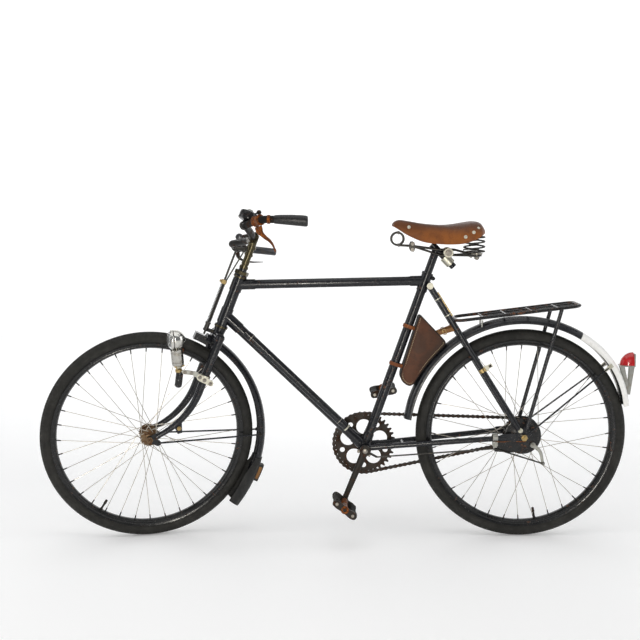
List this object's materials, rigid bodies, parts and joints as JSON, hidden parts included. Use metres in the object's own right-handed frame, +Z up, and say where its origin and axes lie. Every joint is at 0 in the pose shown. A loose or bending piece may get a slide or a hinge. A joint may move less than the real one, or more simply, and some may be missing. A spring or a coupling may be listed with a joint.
{
  "type": "military bicycle",
  "caption": "Old army bicycle with lugged frame, sprung leather saddle, rear rack, mudguards, tool bag and lamp; wheels, cranks, pedals and steering turn.",
  "frame": {"origin": "the rider's mount, at the low point on top of the saddle, on the bicycle's middle plane", "axes": "+X forward, +Y to the rider's left, +Z up"},
  "size_m": [1.8432, 0.5319, 1.0378],
  "materials": {
    "black_enamel": "worn gloss black",
    "saddle_leather": "worn tan leather",
    "bag_leather": "dark brown leather",
    "flap_rubber": "matt",
    "tyre": "matt",
    "rubber": "matt",
    "worn_steel": "dull, rust stained",
    "rusty_steel": "rusted",
    "chrome": "polished, tarnished",
    "zinc": "dull zinc",
    "red_lens": "clear red"
  },
  "bodies": {
    "frame": {"head_tube": "black_enamel", "top_tube": "black_enamel", "down_tube": "black_enamel", "seat_tube": "black_enamel", "seat_lug": "black_enamel", "bottom_bracket_shell": "black_enamel", "chain_stays": "black_enamel", "seat_stays": "black_enamel", "seat_post": "black_enamel", "saddle_clamp": "worn_steel", "saddle_frame": "worn_steel", "saddle_springs": "worn_steel", "saddle_leather": "saddle_leather", "rear_mudguard": "black_enamel", "rear_mudguard_stays": "black_enamel", "tail_lamp_bracket": "zinc", "tail_lamp_lens": "red_lens", "rear_rack": "black_enamel", "rack_struts": "black_enamel", "tool_bag": "bag_leather", "bag_straps": "bag_leather", "pump": "black_enamel", "chain": "worn_steel", "rear_axle": "worn_steel", "brake_plate": "black_enamel", "brake_arm": "zinc", "brake_rod": "worn_steel"},
    "steering": {"fork": "black_enamel", "stem": "black_enamel", "handlebar": "black_enamel", "grips": "rubber", "bell": "black_enamel", "brake_lever_left": "rusty_steel", "brake_lever_right": "rusty_steel", "front_brake_rod": "worn_steel", "front_brake_shoe": "black_enamel", "front_mudguard": "black_enamel", "mud_flap": "flap_rubber", "front_mudguard_stays": "black_enamel", "headlamp": "chrome", "dynamo": "chrome", "lamp_bracket": "zinc", "front_axle": "worn_steel"},
    "front_wheel": {"front_tyre": "tyre", "front_rim": "worn_steel", "front_spokes": "worn_steel", "front_hub": "worn_steel"},
    "rear_wheel": {"rear_tyre": "tyre", "rear_rim": "worn_steel", "rear_spokes": "worn_steel", "rear_hub": "worn_steel"},
    "crank": {"crank_axle": "worn_steel", "chainring": "worn_steel", "crank_left": "worn_steel", "crank_right": "worn_steel"},
    "left_pedal": {"pedal_left": "rubber"},
    "right_pedal": {"pedal_right": "rubber"},
    "sprocket": {"rear_sprocket": "worn_steel"}
  },
  "joints": [
    {"name": "steer", "type": "hinge", "parent": "frame", "child": "steering", "pos_m": [0.66441, 0, -0.23636], "axis": [-0.3665, 0, 0.9304], "range_deg": [-64, 36]},
    {"name": "front_spin", "type": "hinge", "parent": "steering", "child": "front_wheel", "pos_m": [0.92494, 0.02218, -0.655], "axis": [-0.2251, 0.9703, -0.0887], "continuous": true},
    {"name": "rear_spin", "type": "hinge", "parent": "frame", "child": "rear_wheel", "pos_m": [-0.24402, 0, -0.654], "axis": [0, 1, 0], "continuous": true},
    {"name": "crank_spin", "type": "hinge", "parent": "frame", "child": "crank", "pos_m": [0.24698, 0, -0.697], "axis": [0, 1, 0], "continuous": true},
    {"name": "left_pedal_spin", "type": "hinge", "parent": "crank", "child": "left_pedal", "pos_m": [0.31204, 0.12, -0.85406], "axis": [0, 1, 0], "continuous": true},
    {"name": "right_pedal_spin", "type": "hinge", "parent": "crank", "child": "right_pedal", "pos_m": [0.18192, -0.12, -0.53994], "axis": [0, 1, 0], "continuous": true},
    {"name": "sprocket_spin", "type": "hinge", "parent": "frame", "child": "sprocket", "pos_m": [-0.24402, 0, -0.654], "axis": [0, 1, 0], "continuous": true}
  ],
  "couplings": [
    {"joint": "sprocket_spin", "follows": "crank_spin", "ratio": 2.5333}
  ]
}
